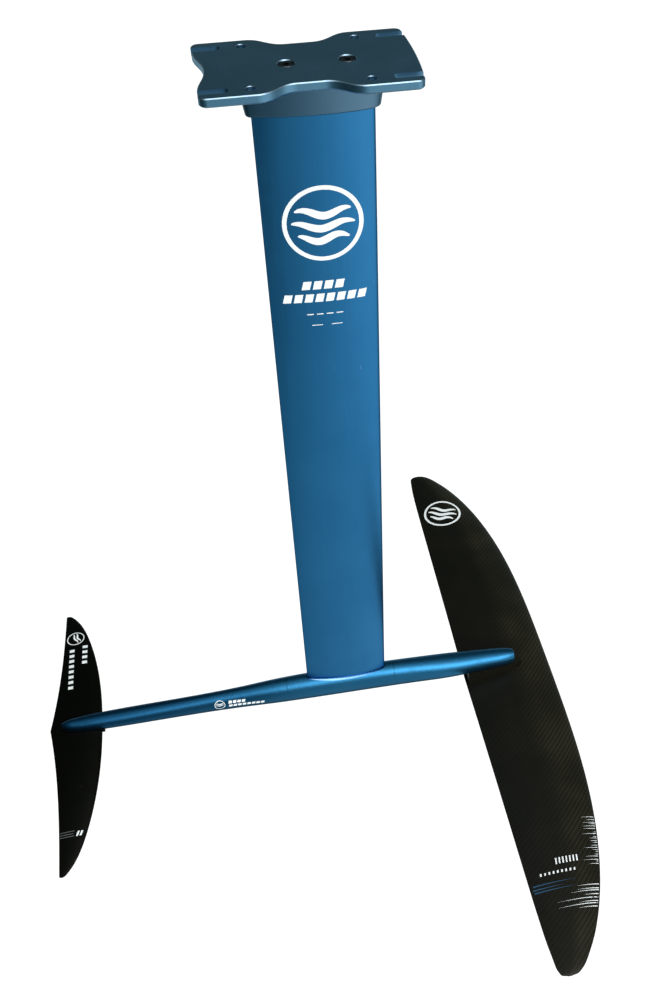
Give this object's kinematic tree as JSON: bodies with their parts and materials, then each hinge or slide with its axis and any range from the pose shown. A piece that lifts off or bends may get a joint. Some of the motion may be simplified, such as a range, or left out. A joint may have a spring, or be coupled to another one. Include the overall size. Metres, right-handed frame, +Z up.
{
  "type": "hydrofoil mast wing",
  "caption": "Hydrofoil for a board: slotted aluminium top plate, foil-section mast, slim fuselage, wide front wing and small rear wing.",
  "frame": {"origin": "centre of the top plate's upper face, which lies against the board", "axes": "+X is the direction of travel, towards the front wing; +Y is to port; +Z is up, out of the top plate's upper face"},
  "size_m": [0.7234, 0.904, 0.9158],
  "materials": {
    "plate_aluminium": "satin dark slate anodised",
    "collar_aluminium": "satin slate blue anodised",
    "mast_aluminium": "satin blue anodised",
    "fuselage_aluminium": "satin blue anodised",
    "insert_steel": "machined",
    "black_steel": "black oxide",
    "bush_aluminium": "turned",
    "carbon": "satin clear over carbon twill",
    "carbon_gloss": "clear over carbon",
    "foam": "closed-cell foam"
  },
  "bodies": {
    "root": {"top_plate": "plate_aluminium", "mast_collar": "collar_aluminium", "mast": "mast_aluminium", "mast_top_inserts": "insert_steel", "mast_foot_inserts": "insert_steel", "mast_top_plugs": "foam", "mast_foot_plugs": "foam", "plate_screws": "black_steel", "mast_screws": "black_steel", "fuselage": "fuselage_aluminium", "fuselage_front_inserts": "insert_steel", "fuselage_rear_inserts": "insert_steel", "front_wing_upper_skin": "carbon", "front_wing_lower_skin": "carbon", "front_wing_core": "foam", "front_wing_bushes": "bush_aluminium", "front_wing_screws": "black_steel", "rear_wing_upper_skin": "carbon_gloss", "rear_wing_lower_skin": "carbon_gloss", "rear_wing_core": "foam", "rear_wing_bushes": "bush_aluminium", "rear_wing_screws": "black_steel"}
  },
  "joints": []
}
